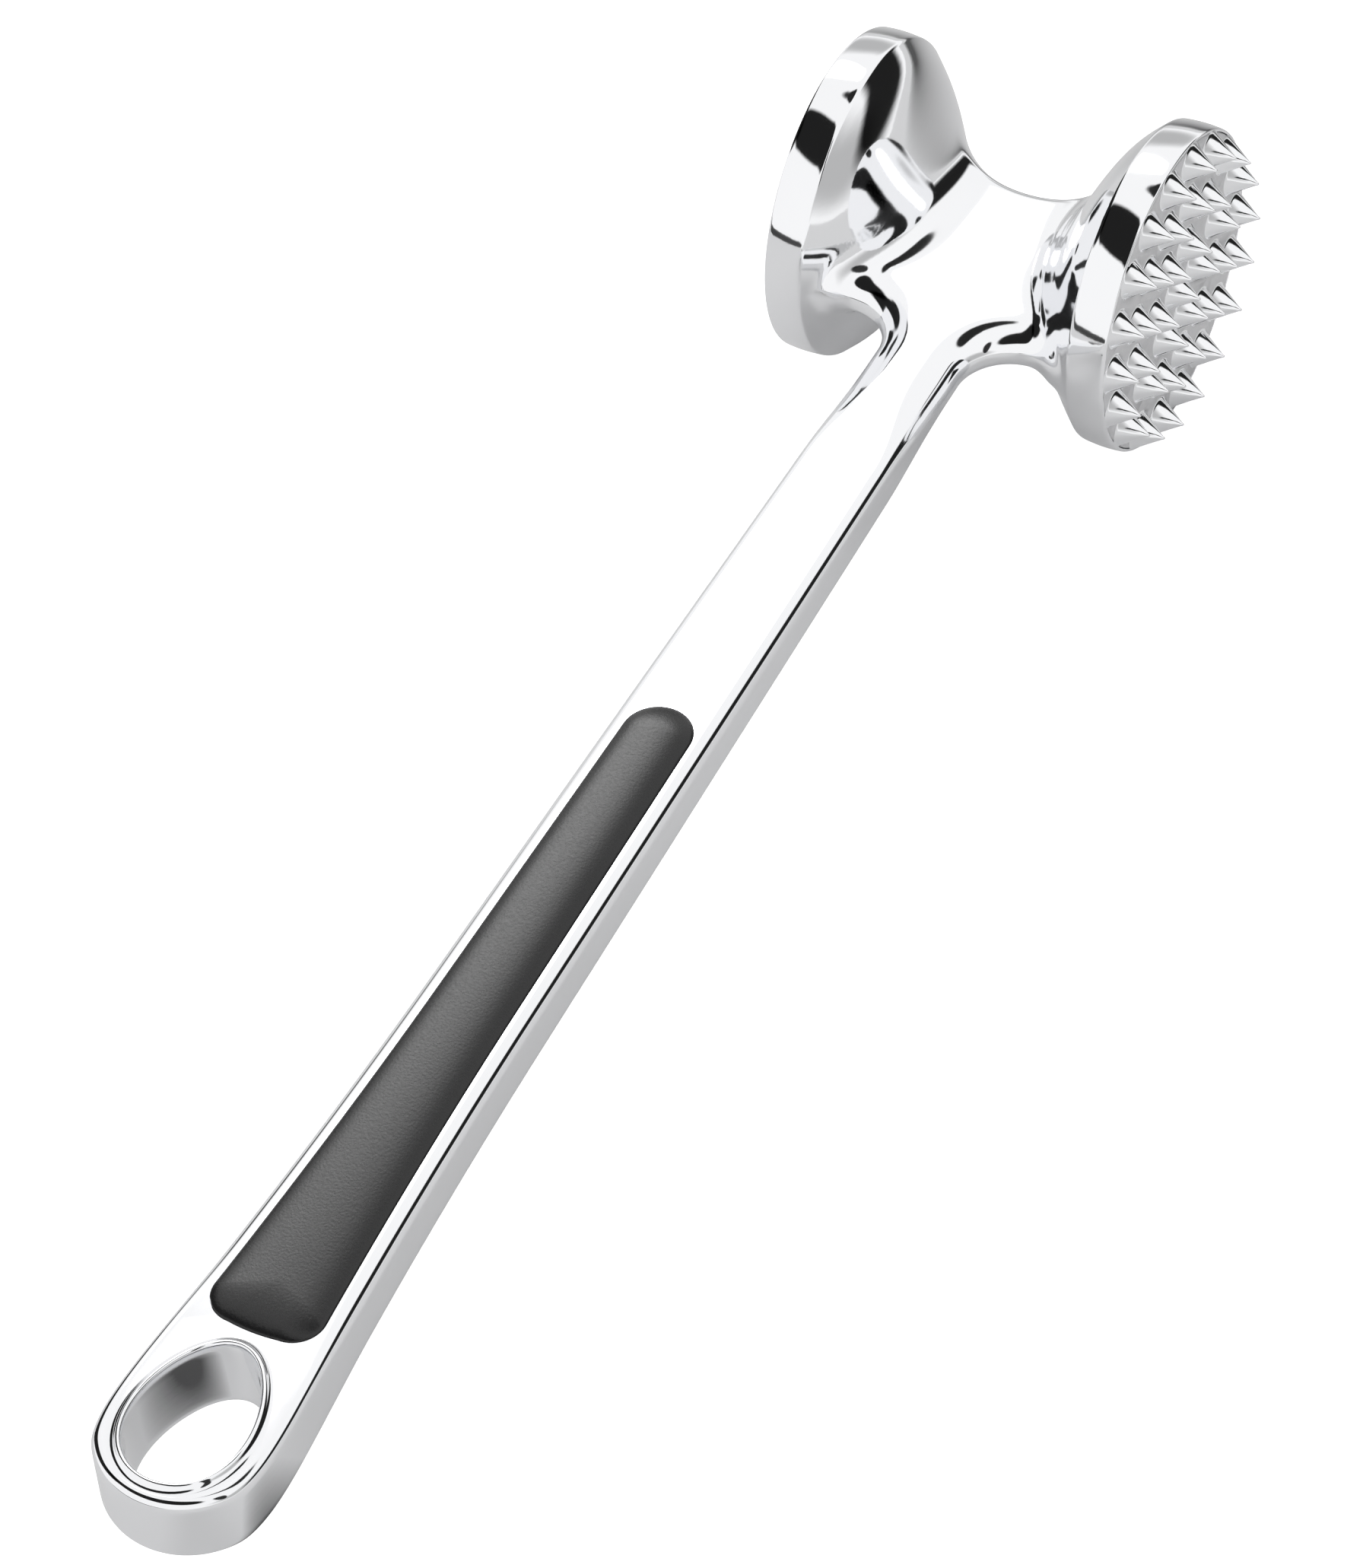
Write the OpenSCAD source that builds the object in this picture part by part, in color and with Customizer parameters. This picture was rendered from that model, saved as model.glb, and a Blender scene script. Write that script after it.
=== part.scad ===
// Meat mallet: a chromed die-cast body with two striking plates and two soft grip inlays.
// X runs along the head from the smooth striking face (x = 0) to the spikes,
// Y along the handle towards the head, and Z out of the front of the handle.

/* [Head] */
// Outer diameter of both discs of the head
head_d = 54; // [48:1:62]
// Length of the head between its two rims
head_len = 59.5; // [56:0.5:70]
// Width of the straight band round each disc
rim_w = 6.3; // [4.5:0.1:8]
// Rounding at the back of each disc's band
crease_r = 0.8; // [0.3:0.1:1.5]
// Half width of the hub across the handle's direction
hub_half_w = 9; // [8:0.25:11]
// Distance from the head's middle at which the hub starts to flare
flare_start = 6; // [3:0.5:9]

/* [Striking plates] */
// Diameter of the plates that sit in the discs
plate_d = 52.4; // [44:0.2:60]
// Thickness of the plates
plate_t = 2.6; // [2:0.1:3.6]
// Diameter of the spigot behind each plate
spigot_d = 7; // [5:0.5:8]
// Length of the spigot behind each plate
spigot_len = 10; // [6:1:14]
// Number of rings of spikes round the middle spike
spike_rings = 3; // [1:1:3]
// Step between the rings of spikes
spike_step = 7.75; // [6.6:0.05:7.75]
// Diameter of a spike at its foot
spike_d = 6.4; // [4:0.1:6.5]
// Height of the spikes above the rim
spike_h = 4.75; // [3:0.25:8]
// Radius of a spike's blunt tip
spike_tip_r = 0.35; // [0.2:0.05:0.6]
// Turn of the whole pattern of spikes about the head's axis
spike_turn = -7; // [-30:1:30]

/* [Handle] */
// Distance from the head's axis to the centre of the handle's round end
handle_len = 264.2; // [220:0.2:300]
// Half width of the handle at its neck
neck_half_w = 7.2; // [6.4:0.1:8.5]
// Radius of the handle's round end
end_r = 13.5; // [12:0.1:16]
// Thickness of the handle at the head's axis
thick_head = 7.6; // [7:0.2:10]
// Thickness of the handle at the centre of its round end
thick_end = 12.3; // [11:0.1:14]
// Rounding of the handle's long edges
edge_r = 2.2; // [1.2:0.1:2.8]
// Radius of the fillet between the handle and each disc
armpit_r = 8.5; // [6:0.5:10]

/* [Hanging hole] */
// Width across the middle of the hole
hole_w = 17.16; // [12:0.02:17.6]
// Length of the hole
hole_l = 24.8; // [18:0.2:25]
// How much narrower the hole grows towards the head (0 is an ellipse)
hole_taper = 0.16; // [0:0.02:0.2]
// Width of the raised lip round the hole
lip_w = 1.6; // [0.8:0.1:2.2]
// Height of the raised lip above the handle's faces
lip_h = 0.4; // [0.2:0.1:0.8]

/* [Grip inlays] */
// Distance from the head's axis to the near end of the inlays
grip_start = 115.7; // [90:0.1:140]
// Distance from the head's axis to the far end of the inlays
grip_end = 245.4; // [215:0.1:246]
// Distance from the handle's side to the inlay's side
grip_margin = 2.6; // [2.2:0.1:4]
// Depth of the pockets that hold the inlays
grip_depth = 2.2; // [1.2:0.1:2.8]
// Height of the inlays' crown above the handle's faces
grip_crown = 1.3; // [0.4:0.1:2]
// Radius of the inlays' corners at the far end
grip_corner_r = 5; // [3:0.5:6]

/* [Hidden] */
chrome = [0.78, 0.79, 0.81];
satin = [0.7, 0.7, 0.72];
rubber = [0.12, 0.12, 0.13];

mid_x = head_len / 2;
flare_end = mid_x - rim_w;
crease_ring_r = head_d / 2 - crease_r / 2;
taper = (thick_end - thick_head) / 2 / handle_len;
taper_angle = atan(taper);
hole_y = -handle_len - 1;
hole_foot = 8.7;
core_r = 3;
seat_gap = 0.04;
arc_step = 15;

// Half thickness of the handle at a place y.
function half_thick(y) = thick_head / 2 - taper * y;
function ease(t) = t * t * (3 - 2 * t);
function clamp(t) = min(1, max(0, t));

// How far the hub has flared into the disc, from 0 to 1, at a distance u from the middle.
function flare(u) = ease(clamp((u - flare_start) / (flare_end + 1.5 - flare_start)))
    / ease(clamp((flare_end - flare_start) / (flare_end + 1.5 - flare_start)));

// Radius of the round part of the hub at a distance u from the middle.
function spool_r(u) = core_r + (crease_ring_r - core_r) * flare(u);
// Height of the flat part of the hub above the axis there.
function hub_top(u) = hub_half_w + (crease_ring_r - 0.3 - hub_half_w) * flare(u);

// Half width of the handle along its length.
flare_from = 0.6;
side_taper = 3.1;
function side_share(y) = (-y - neck_y) / (handle_len - neck_y);
neck_y = 45;
end_flare = end_r - neck_half_w - side_taper;
function half_width(y) = neck_half_w + side_taper * clamp(side_share(y))
    + end_flare * pow(max(0, (side_share(y) - flare_from) / (1 - flare_from)), 2);

// Lower edge of the flat at a distance u from the middle: the handle's sides, then the armpit's arc,
// which stops where it meets the disc.
armpit_x = neck_half_w + armpit_r;
armpit_y = -32;
armpit_stop = 0.72 * armpit_r;
function hub_bottom(u) = armpit_y
    + (u > neck_half_w ? sqrt(armpit_r * armpit_r - pow(min(u - armpit_x, armpit_stop), 2)) : 0);

// The inlay's outline: a round near end, sides that follow the handle, and soft far corners.
grip_near_r = half_width(-grip_start - 6) - grip_margin;
grip_near_y = -grip_start - grip_near_r;
grip_far_y = -grip_end + grip_corner_r;
grip_steps = 12;
function grip_half(y) = half_width(y) - grip_margin;
grip_right = concat(
    [for (a = [90 : -arc_step : 15]) [grip_near_r * cos(a), grip_near_y + grip_near_r * sin(a)]],
    [for (i = [0 : grip_steps])
        let (y = grip_near_y + (grip_far_y - grip_near_y) * i / grip_steps) [grip_half(y), y]],
    [for (a = [-arc_step : -arc_step : -75])
        [grip_half(grip_far_y) - grip_corner_r * (1 - cos(a)), grip_far_y + grip_corner_r * sin(a)]]);
grip_outline = concat(
    grip_right,
    [for (i = [len(grip_right) - 1 : -1 : 1]) [-grip_right[i][0], grip_right[i][1]]]);

// Unit normal of a clockwise outline at point i, pointing inwards.
function inward(outline, i) =
    let (n = len(outline))
    let (d = outline[(i + 1) % n] - outline[(i + n - 1) % n])
    [d[1], -d[0]] / norm(d);

// Skin over a stack of rings that have the same number of points each.
module skin(rings) {
    n = len(rings[0]);
    last = len(rings) - 1;
    polyhedron(
        points = [for (ring = rings) each ring],
        faces = concat(
            [[for (i = [n - 1 : -1 : 0]) i]],
            [for (j = [0 : last - 1]) for (i = [0 : n - 1])
                let (k = (i + 1) % n)
                each [[j * n + i, j * n + k, (j + 1) * n + i],
                      [j * n + k, (j + 1) * n + k, (j + 1) * n + i]]],
            [[for (i = [0 : n - 1]) last * n + i]]),
        convexity = 8);
}

// The round part of the head: two discs and the trumpets that run into the flat between them.
spool_steps = 9;
module spool() {
    r = head_d / 2;
    half = concat(
        [for (i = [0 : spool_steps])
            let (u = flare_start + (flare_end - flare_start) * i / spool_steps) [spool_r(u), u]],
        [[r - crease_r * 0.15, flare_end + crease_r * 0.4], [r, flare_end + crease_r],
         [r, mid_x - 0.3], [r - 0.3, mid_x], [0, mid_x]]);
    translate([mid_x, 0, 0]) rotate([0, 90, 0]) rotate_extrude($fn = 72) polygon(concat(
        half, [for (i = [len(half) - 1 : -1 : 0]) [half[i][0], -half[i][1]]]));
}

// Corner points of a rounded upright rectangle, half_a wide and half_b tall, as pairs.
corner_steps = 3;
function rounded(half_a, half_b, r) =
    [for (q = [0 : 3]) for (i = [0 : corner_steps])
        let (a = 90 * q + 90 * i / corner_steps)
        let (side = q == 0 || q == 3 ? 1 : -1)
        let (top = q < 2 ? 1 : -1)
        [side * (half_a - r) + r * cos(a), top * (half_b - r) + r * sin(a)]];

// The flat of the hub, as a row of upright sections from one disc to the other.
// It stands a hair proud of the handle, which runs into its lower edge.
hub_sections = 24;
hub_proud = 0.06;
module hub_flat() {
    reach = flare_end + 0.8;
    skin([for (i = [0 : hub_sections])
        let (x = reach * (1 - 2 * i / hub_sections))
        let (top = hub_top(abs(x)))
        let (bottom = hub_bottom(abs(x)))
        [for (p = rounded((top - bottom) / 2, half_thick(-12) + hub_proud, edge_r))
            [mid_x + x, (top + bottom) / 2 + p[0], p[1]]]]);
}

// The handle, as a row of sections from inside the hub to its round end.
handle_steps = 14;
end_steps = 10;
module handle() {
    top = armpit_y + 5;
    bottom = -handle_len + 1;
    places = concat(
        [for (i = [0 : handle_steps - 1])
            let (y = top + (bottom - top) * i / handle_steps) [y, half_width(y), half_thick(y)]],
        [for (i = [0 : end_steps])
            let (a = 88 * i / end_steps)
            let (y = -handle_len - end_r * sin(a))
            let (left = edge_r - end_r * (1 - sin(a)))
            let (drop = left > 0 ? edge_r - sqrt(edge_r * edge_r - left * left) : 0)
            [y, max(end_r * cos(a), edge_r + 0.05), half_thick(y) - drop]]);
    skin([for (c = places) [for (p = rounded(c[1], c[2], edge_r * 0.98)) [mid_x - p[0], c[0], p[1]]]]);
}

// The hole's outline, grown by a margin along its normals: an egg with its wide end at the handle's end.
module hole_outline(grow) {
    steps = 40;
    polygon([for (i = [0 : steps - 1])
        let (a = 360 * i / steps,
             across = -hole_w / 2 * (sin(a) + hole_taper * cos(2 * a)),
             along = hole_l / 2 * cos(a),
             run = norm([across, along]))
        [hole_w / 2 * cos(a) * (1 - hole_taper * sin(a)) + grow * along / run,
         hole_l / 2 * (1 + sin(a)) - hole_foot - grow * across / run]]);
}

module hole_column(grow, height) {
    translate([mid_x, hole_y, -height / 2]) linear_extrude(height) hole_outline(grow);
}

// The space of one inlay below the handle's front face, in the handle's own slope.
module front_plane() {
    translate([mid_x, 0, thick_head / 2]) rotate([-taper_angle, 0, 0]) children();
}

module grip_pocket() {
    front_plane() translate([0, 0, -grip_depth]) linear_extrude(grip_depth + 4) polygon(grip_outline);
}

// A crowned inlay that fills its pocket and stands a little proud of it.
crown = [[0, 0], [0.25, 0.45], [0.8, 0.72], [1.8, 0.9], [3.4, 1]];
module grip() {
    n = len(grip_outline);
    rings = concat(
        [[for (p = grip_outline) [p[0], p[1], -grip_depth]]],
        [for (c = crown) [for (i = [0 : n - 1])
            let (p = grip_outline[i] + c[0] * inward(grip_outline, i))
            [p[0], p[1], grip_crown * c[1]]]]);
    front_plane() skin(rings);
}

// A plate with its spigot, drawn along +Z with the striking face at the top.
module plate_blank() {
    edge = 0.3;
    rotate_extrude($fn = 96) polygon([
        [0, -plate_t - spigot_len], [spigot_d / 2 - edge, -plate_t - spigot_len],
        [spigot_d / 2, -plate_t - spigot_len + edge], [spigot_d / 2, -plate_t],
        [plate_d / 2, -plate_t], [plate_d / 2, -edge], [plate_d / 2 - edge, 0], [0, 0]]);
}

// The seat of a plate and its spigot, a hair wider than both.
module seat(face_x, side) {
    translate([face_x, 0, 0]) rotate([0, 90 * side, 0]) {
        translate([0, 0, -plate_t]) cylinder(h = plate_t + 1, d = plate_d + seat_gap, $fn = 96);
        translate([0, 0, -plate_t - spigot_len])
            cylinder(h = spigot_len + 1, d = spigot_d + seat_gap, $fn = 96);
    }
}

// One spike: a cone with a blunt round tip, standing on z = 0.
module spike() {
    slope = atan((spike_d / 2) / spike_h);
    ball_z = spike_h - spike_tip_r;
    rotate_extrude($fn = 40) polygon(concat(
        [[0, -0.5], [spike_d / 2, -0.5], [spike_d / 2, 0]],
        [for (a = [slope : (90 - slope) / 4 : 89]) [spike_tip_r * cos(a), ball_z + spike_tip_r * sin(a)]],
        [[0, spike_h]]));
}

module mallet_body() {
    color(chrome) difference() {
        union() {
            spool();
            hub_flat();
            handle();
            hole_column(lip_w, 2 * (half_thick(hole_y) + lip_h));
        }
        seat(0, -1);
        seat(head_len, 1);
        grip_pocket();
        mirror([0, 0, 1]) grip_pocket();
        hole_column(0, 40);
    }
}

module spiked_plate() {
    color(satin) translate([head_len, 0, 0]) rotate([0, 90, 0]) rotate([0, 0, 90 + spike_turn]) {
        plate_blank();
        spike();
        for (ring = [1 : spike_rings]) for (i = [0 : 6 * ring - 1])
            rotate([0, 0, (i + (ring == 2 ? 0.5 : 0)) * 60 / ring]) translate([ring * spike_step, 0, 0])
                spike();
    }
}

module smooth_plate() {
    color(chrome) rotate([0, -90, 0]) plate_blank();
}

module front_grip() {
    color(rubber) grip();
}

module rear_grip() {
    color(rubber) mirror([0, 0, 1]) grip();
}

mallet_body();
spiked_plate();
smooth_plate();
front_grip();
rear_grip();
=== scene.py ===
"""A meat mallet's finished surfaces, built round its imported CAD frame."""

import logging
import math
from dataclasses import dataclass, field
from enum import Enum
from typing import Callable, Sequence

import bmesh
import bpy
import numpy as np
from mathutils import Matrix, Vector
from mathutils.geometry import delaunay_2d_cdt

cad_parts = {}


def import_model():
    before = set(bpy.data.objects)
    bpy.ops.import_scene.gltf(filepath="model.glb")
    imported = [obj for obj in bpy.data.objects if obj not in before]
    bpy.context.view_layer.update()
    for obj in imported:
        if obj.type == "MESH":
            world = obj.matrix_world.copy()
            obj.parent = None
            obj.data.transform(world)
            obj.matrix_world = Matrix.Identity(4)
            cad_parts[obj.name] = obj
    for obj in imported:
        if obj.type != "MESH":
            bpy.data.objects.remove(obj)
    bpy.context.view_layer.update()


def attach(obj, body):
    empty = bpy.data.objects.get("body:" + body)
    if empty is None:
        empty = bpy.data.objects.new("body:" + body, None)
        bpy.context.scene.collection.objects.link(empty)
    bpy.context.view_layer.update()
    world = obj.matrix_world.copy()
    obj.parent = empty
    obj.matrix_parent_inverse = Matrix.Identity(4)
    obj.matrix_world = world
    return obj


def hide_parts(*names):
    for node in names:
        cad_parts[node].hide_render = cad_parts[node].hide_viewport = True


LOG = logging.getLogger("meat_mallet")
MM = 0.001
ROOT_BODY = "root"

Point2 = tuple[float, float]
Point3 = tuple[float, float, float]
Array = np.ndarray


class Side(Enum):
    """The side of the handle that a piece lies on."""

    FRONT = 1
    REAR = -1


class HeadEnd(Enum):
    """The end of the head that a plate sits in."""

    SMOOTH = -1
    SPIKED = 1


# ---------------------------------------------------------------- helpers


def deselect_all() -> None:
    """Leaves edit mode and deselects every object."""
    if bpy.context.mode != "OBJECT":
        bpy.ops.object.mode_set(mode="OBJECT")
    bpy.ops.object.select_all(action="DESELECT")


def make_active(obj: bpy.types.Object) -> None:
    """Selects one object only and makes it the active one."""
    deselect_all()
    obj.select_set(True)
    bpy.context.view_layer.objects.active = obj


def apply_modifier(obj: bpy.types.Object, kind: str, **settings: object) -> None:
    """Adds a modifier and applies it at once.

    Args:
        obj: The object to change.
        kind: The modifier's type.
        **settings: Values set on the modifier before it is applied.
    """
    modifier = obj.modifiers.new(kind.title(), kind)
    for name, value in settings.items():
        setattr(modifier, name, value)
    make_active(obj)
    bpy.ops.object.modifier_apply(modifier=modifier.name)


def object_from(name: str, points: Sequence, faces: Sequence) -> bpy.types.Object:
    """Makes a mesh object from points in millimetres.

    Args:
        name: The piece's name.
        points: The points, in millimetres in the row frame.
        faces: Point numbers of each face, anticlockwise from outside.

    Returns:
        The new object, at the origin.
    """
    mesh = bpy.data.meshes.new(name)
    mesh.from_pydata([[c * MM for c in p] for p in points], [], [list(f) for f in faces])
    obj = bpy.data.objects.new(name, mesh)
    bpy.context.scene.collection.objects.link(obj)
    return obj


def smooth_shading(obj: bpy.types.Object, angle: float = 35.0) -> None:
    """Shades a piece smooth, apart from edges sharper than an angle in degrees."""
    make_active(obj)
    bpy.ops.object.shade_smooth_by_angle(angle=math.radians(angle))


def spline_through(knots: Sequence[Point2]) -> Callable[[Array], Array]:
    """A natural cubic spline through some points.

    Args:
        knots: Pairs of place and value, in rising order of place.

    Returns:
        A function that gives the value at any array of places.
    """
    x = np.array([k[0] for k in knots], float)
    y = np.array([k[1] for k in knots], float)
    n, h = len(x), np.diff(x)
    system, right = np.eye(n), np.zeros(n)
    for i in range(1, n - 1):
        system[i, i - 1 : i + 2] = h[i - 1], 2 * (h[i - 1] + h[i]), h[i]
        right[i] = 6 * ((y[i + 1] - y[i]) / h[i] - (y[i] - y[i - 1]) / h[i - 1])
    bend = np.linalg.solve(system, right)

    def value(at: Array) -> Array:
        """The spline's value at some places, held level beyond its ends."""
        at = np.clip(at, x[0], x[-1])
        i = np.clip(np.searchsorted(x, at) - 1, 0, n - 2)
        a, b, w = x[i + 1] - at, at - x[i], h[i]
        return (
            bend[i] * a**3 / (6 * w)
            + bend[i + 1] * b**3 / (6 * w)
            + (y[i] / w - bend[i] * w / 6) * a
            + (y[i + 1] / w - bend[i + 1] * w / 6) * b
        )

    return value


def smooth_step(low: float, high: float, at: Array) -> Array:
    """A smooth rise from 0 at low to 1 at high."""
    t = np.clip((np.asarray(at, float) - low) / (high - low), 0, 1)
    return t * t * (3 - 2 * t)


def inside(point: Point2, loop: Sequence[Point2]) -> bool:
    """Whether a point lies inside a closed loop of points."""
    hit, (px, py) = False, point
    for (ax, ay), (bx, by) in zip(loop, [*loop[1:], loop[0]]):
        if (ay > py) != (by > py) and px < (bx - ax) * (py - ay) / (by - ay) + ax:
            hit = not hit
    return hit


# ---------------------------------------------------------------- the shape of the body


@dataclass
class HandlePlan:
    """The handle's outline and thickness, in millimetres from the head's middle."""

    mid_x: float = 29.75
    neck_y: float = -45.0
    neck_half: float = 7.2
    side_taper: float = 3.1
    flare_from: float = 0.6
    end_y: float = -264.2
    end_r: float = 13.5
    thick_head: float = 3.8
    thick_rise: float = 2.35
    edge_r: float = 2.2
    end_edge_r: float = 1.5

    def half_width(self, y: Array) -> Array:
        """Half width of the handle at a place y."""
        share = (self.neck_y - y) / (self.neck_y - self.end_y)
        flare = self.end_r - self.neck_half - self.side_taper
        late = np.maximum(0, (share - self.flare_from) / (1 - self.flare_from))
        return self.neck_half + self.side_taper * np.clip(share, 0, 1) + flare * late**2

    def half_thick(self, y: Array) -> Array:
        """Half thickness of the handle at a place y."""
        return self.thick_head + self.thick_rise * y / self.end_y

    def edge_round(self, y: Array) -> Array:
        """Radius of the long edges' rounding at a place y."""
        return self.edge_r - (self.edge_r - self.end_edge_r) * smooth_step(-232, -252, -np.abs(y))


@dataclass
class HoleRing:
    """The egg-shaped hanging hole, with its wide end at the handle's end."""

    foot_y: float = -273.9
    width: float = 17.16
    length: float = 24.8
    taper: float = 0.16
    points: int = 88

    def outline(self, grow: float) -> list[Point2]:
        """The hole's outline.

        Args:
            grow: How far the outline lies outside the hole's own edge.

        Returns:
            Points in the handle's plane, anticlockwise.
        """
        made = []
        half_w, half_l = self.width / 2, self.length / 2
        for i in range(self.points):
            a = 2 * math.pi * i / self.points
            across = -half_w * (math.sin(a) + self.taper * math.cos(2 * a))
            along = half_l * math.cos(a)
            run = math.hypot(across, along)
            x = half_w * math.cos(a) * (1 - self.taper * math.sin(a))
            y = self.foot_y + half_l * (1 + math.sin(a))
            made.append((x + grow * along / run, y - grow * across / run))
        return made


@dataclass
class GripPlan:
    """The outline that an inlay and its pocket share."""

    handle: HandlePlan
    start_y: float = -115.7
    end_y: float = -245.4
    margin: float = 2.6
    depth: float = 2.2
    corner_r: float = 5.0
    side_steps: int = 40
    turn_steps: int = 14
    bow: float = 0.3

    @property
    def near_r(self) -> float:
        """Radius of the inlay's round near end."""
        return float(self.handle.half_width(self.start_y - 6)) - self.margin

    def outline(self) -> list[Point2]:
        """The inlay's outline, clockwise from the middle of its near end."""
        r, far = self.near_r, self.end_y + self.corner_r
        near = self.start_y - r
        right = [
            (r * math.cos(a), near + r * math.sin(a))
            for a in np.linspace(math.pi / 2, 0, self.turn_steps + 1)[:-1]
        ]
        right += [
            (float(self.handle.half_width(y)) - self.margin, float(y))
            for y in np.linspace(near, far, self.side_steps + 1)
        ]
        wide = right[-1][0]
        right += [
            (wide - self.corner_r * (1 - math.cos(a)), far - self.corner_r * math.sin(a))
            for a in np.linspace(0, math.pi / 2, self.turn_steps + 1)[1:]
        ]
        flat = wide - self.corner_r
        right += [
            (flat * t, self.end_y - self.bow * (1 - t * t)) for t in (0.75, 0.5, 0.25, 0.0)
        ]
        return right + [(-x, y) for x, y in reversed(right[1:-1])]


@dataclass
class HeadForm:
    """The blended solid of the hub, its trumpets and the neck, as a distance field.

    All sizes are in millimetres from the head's middle.
    """

    handle: HandlePlan
    armpit_x: float = 15.7
    armpit_y: float = -32.0
    armpit_r: float = 8.5
    blend: float = 5.0
    soft_wide: float = 6.6
    soft_high: float = 3.7
    ring_x: float = 23.1
    top_y: float = 8.35
    top_bow: float = 0.024
    low_bow: float = 0.05
    flat_end: float = 22.6
    soft_from: float = -58.0
    soft_to: float = -36.0
    height: Sequence[Point2] = (
        (-6, 4.4), (0, 4.2), (5, 5.2), (8, 8.0), (11, 11.8), (13.5, 15.0),
        (16.5, 19.2), (20, 23.4), (23.1, 26.45), (26, 29.2),
    )  # fmt: skip
    depth: Sequence[Point2] = (
        (-6, 1.3), (0, 1.1), (5, 1.7), (8, 3.6), (11, 7.0), (13.5, 11.4),
        (16.5, 17.4), (20, 23.2), (23.1, 26.45), (26, 29.2),
    )  # fmt: skip

    def __post_init__(self) -> None:
        """Makes the splines of the trumpets' sections."""
        self.height_at = spline_through(self.height)
        self.depth_at = spline_through(self.depth)

    def ring_radius(self) -> float:
        """Radius of the trumpets where they meet the discs' bands."""
        return float(self.height_at(np.array([self.ring_x]))[0])

    def top_edge(self, u: Array) -> Array:
        """Place of the flat's top edge at a distance u from the middle."""
        return self.top_y + self.top_bow * u * u

    def plate(self, p: Array) -> Array:
        """Distance from the flat T: the hub's flat and the neck."""
        u, y, z = np.abs(p[:, 0]), p[:, 1], np.abs(p[:, 2])
        top = y - self.top_edge(u)
        arc = self.armpit_r - np.hypot(u - self.armpit_x, y - self.armpit_y)
        beyond = self.armpit_y + self.armpit_r - self.low_bow * (u - self.armpit_x) ** 2 - y
        arc = np.where(u > self.armpit_x, beyond, arc)
        low = np.where(y > self.armpit_y, arc, u - self.handle.half_width(y))
        soft = smooth_step(self.soft_from, self.soft_to, y)
        r = self.handle.edge_r
        wide, high = r + (self.soft_wide - r) * soft, r + (self.soft_high - r) * soft
        side = np.maximum(np.maximum(top / r, low / wide), (u - self.flat_end) / r) + 1
        face = (z - self.handle.half_thick(y)) / high + 1
        round_off = np.hypot(np.maximum(side, 0), np.maximum(face, 0))
        return (round_off + np.minimum(np.maximum(side, face), 0) - 1) * high

    def trumpets(self, p: Array) -> Array:
        """Distance from the two trumpets, measured in their upright sections."""
        u, y, z = np.abs(p[:, 0]), np.abs(p[:, 1]), np.abs(p[:, 2])
        b, c = self.height_at(u), self.depth_at(u)
        return (np.hypot(y / b, z / c) - 1) * np.minimum(b, c)

    def field(self, p: Array) -> Array:
        """The smooth union of the flat and the trumpets."""
        a, b = self.plate(p), self.trumpets(p)
        k = self.blend * (1 - 0.97 * smooth_step(18.5, self.ring_x - 0.1, np.abs(p[:, 0])))
        h = np.clip(0.5 + 0.5 * (b - a) / k, 0, 1)
        return b * (1 - h) + a * h - k * h * (1 - h)

    def slope(self, p: Array) -> Array:
        """The field's gradient."""
        e, made = 0.02, np.zeros_like(p)
        for axis in range(3):
            step = np.zeros(3)
            step[axis] = e
            made[:, axis] = (self.field(p + step) - self.field(p - step)) / (2 * e)
        return made

    def settle(self, p: Array, free: Array, rounds: int = 6) -> Array:
        """Moves points onto the surface.

        Args:
            p: The points.
            free: For each point and axis, 1 where it may move and 0 where it may not.
            rounds: How many steps are taken.

        Returns:
            The moved points.
        """
        p = p.copy()
        for _ in range(rounds):
            g = self.slope(p) * free
            size = np.maximum((g * g).sum(1), 1e-4)
            step = (self.field(p) / size)[:, None] * g
            length = np.maximum(np.linalg.norm(step, axis=1, keepdims=True), 1e-9)
            p -= step * np.minimum(1, 2.5 / length)
        return p


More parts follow.
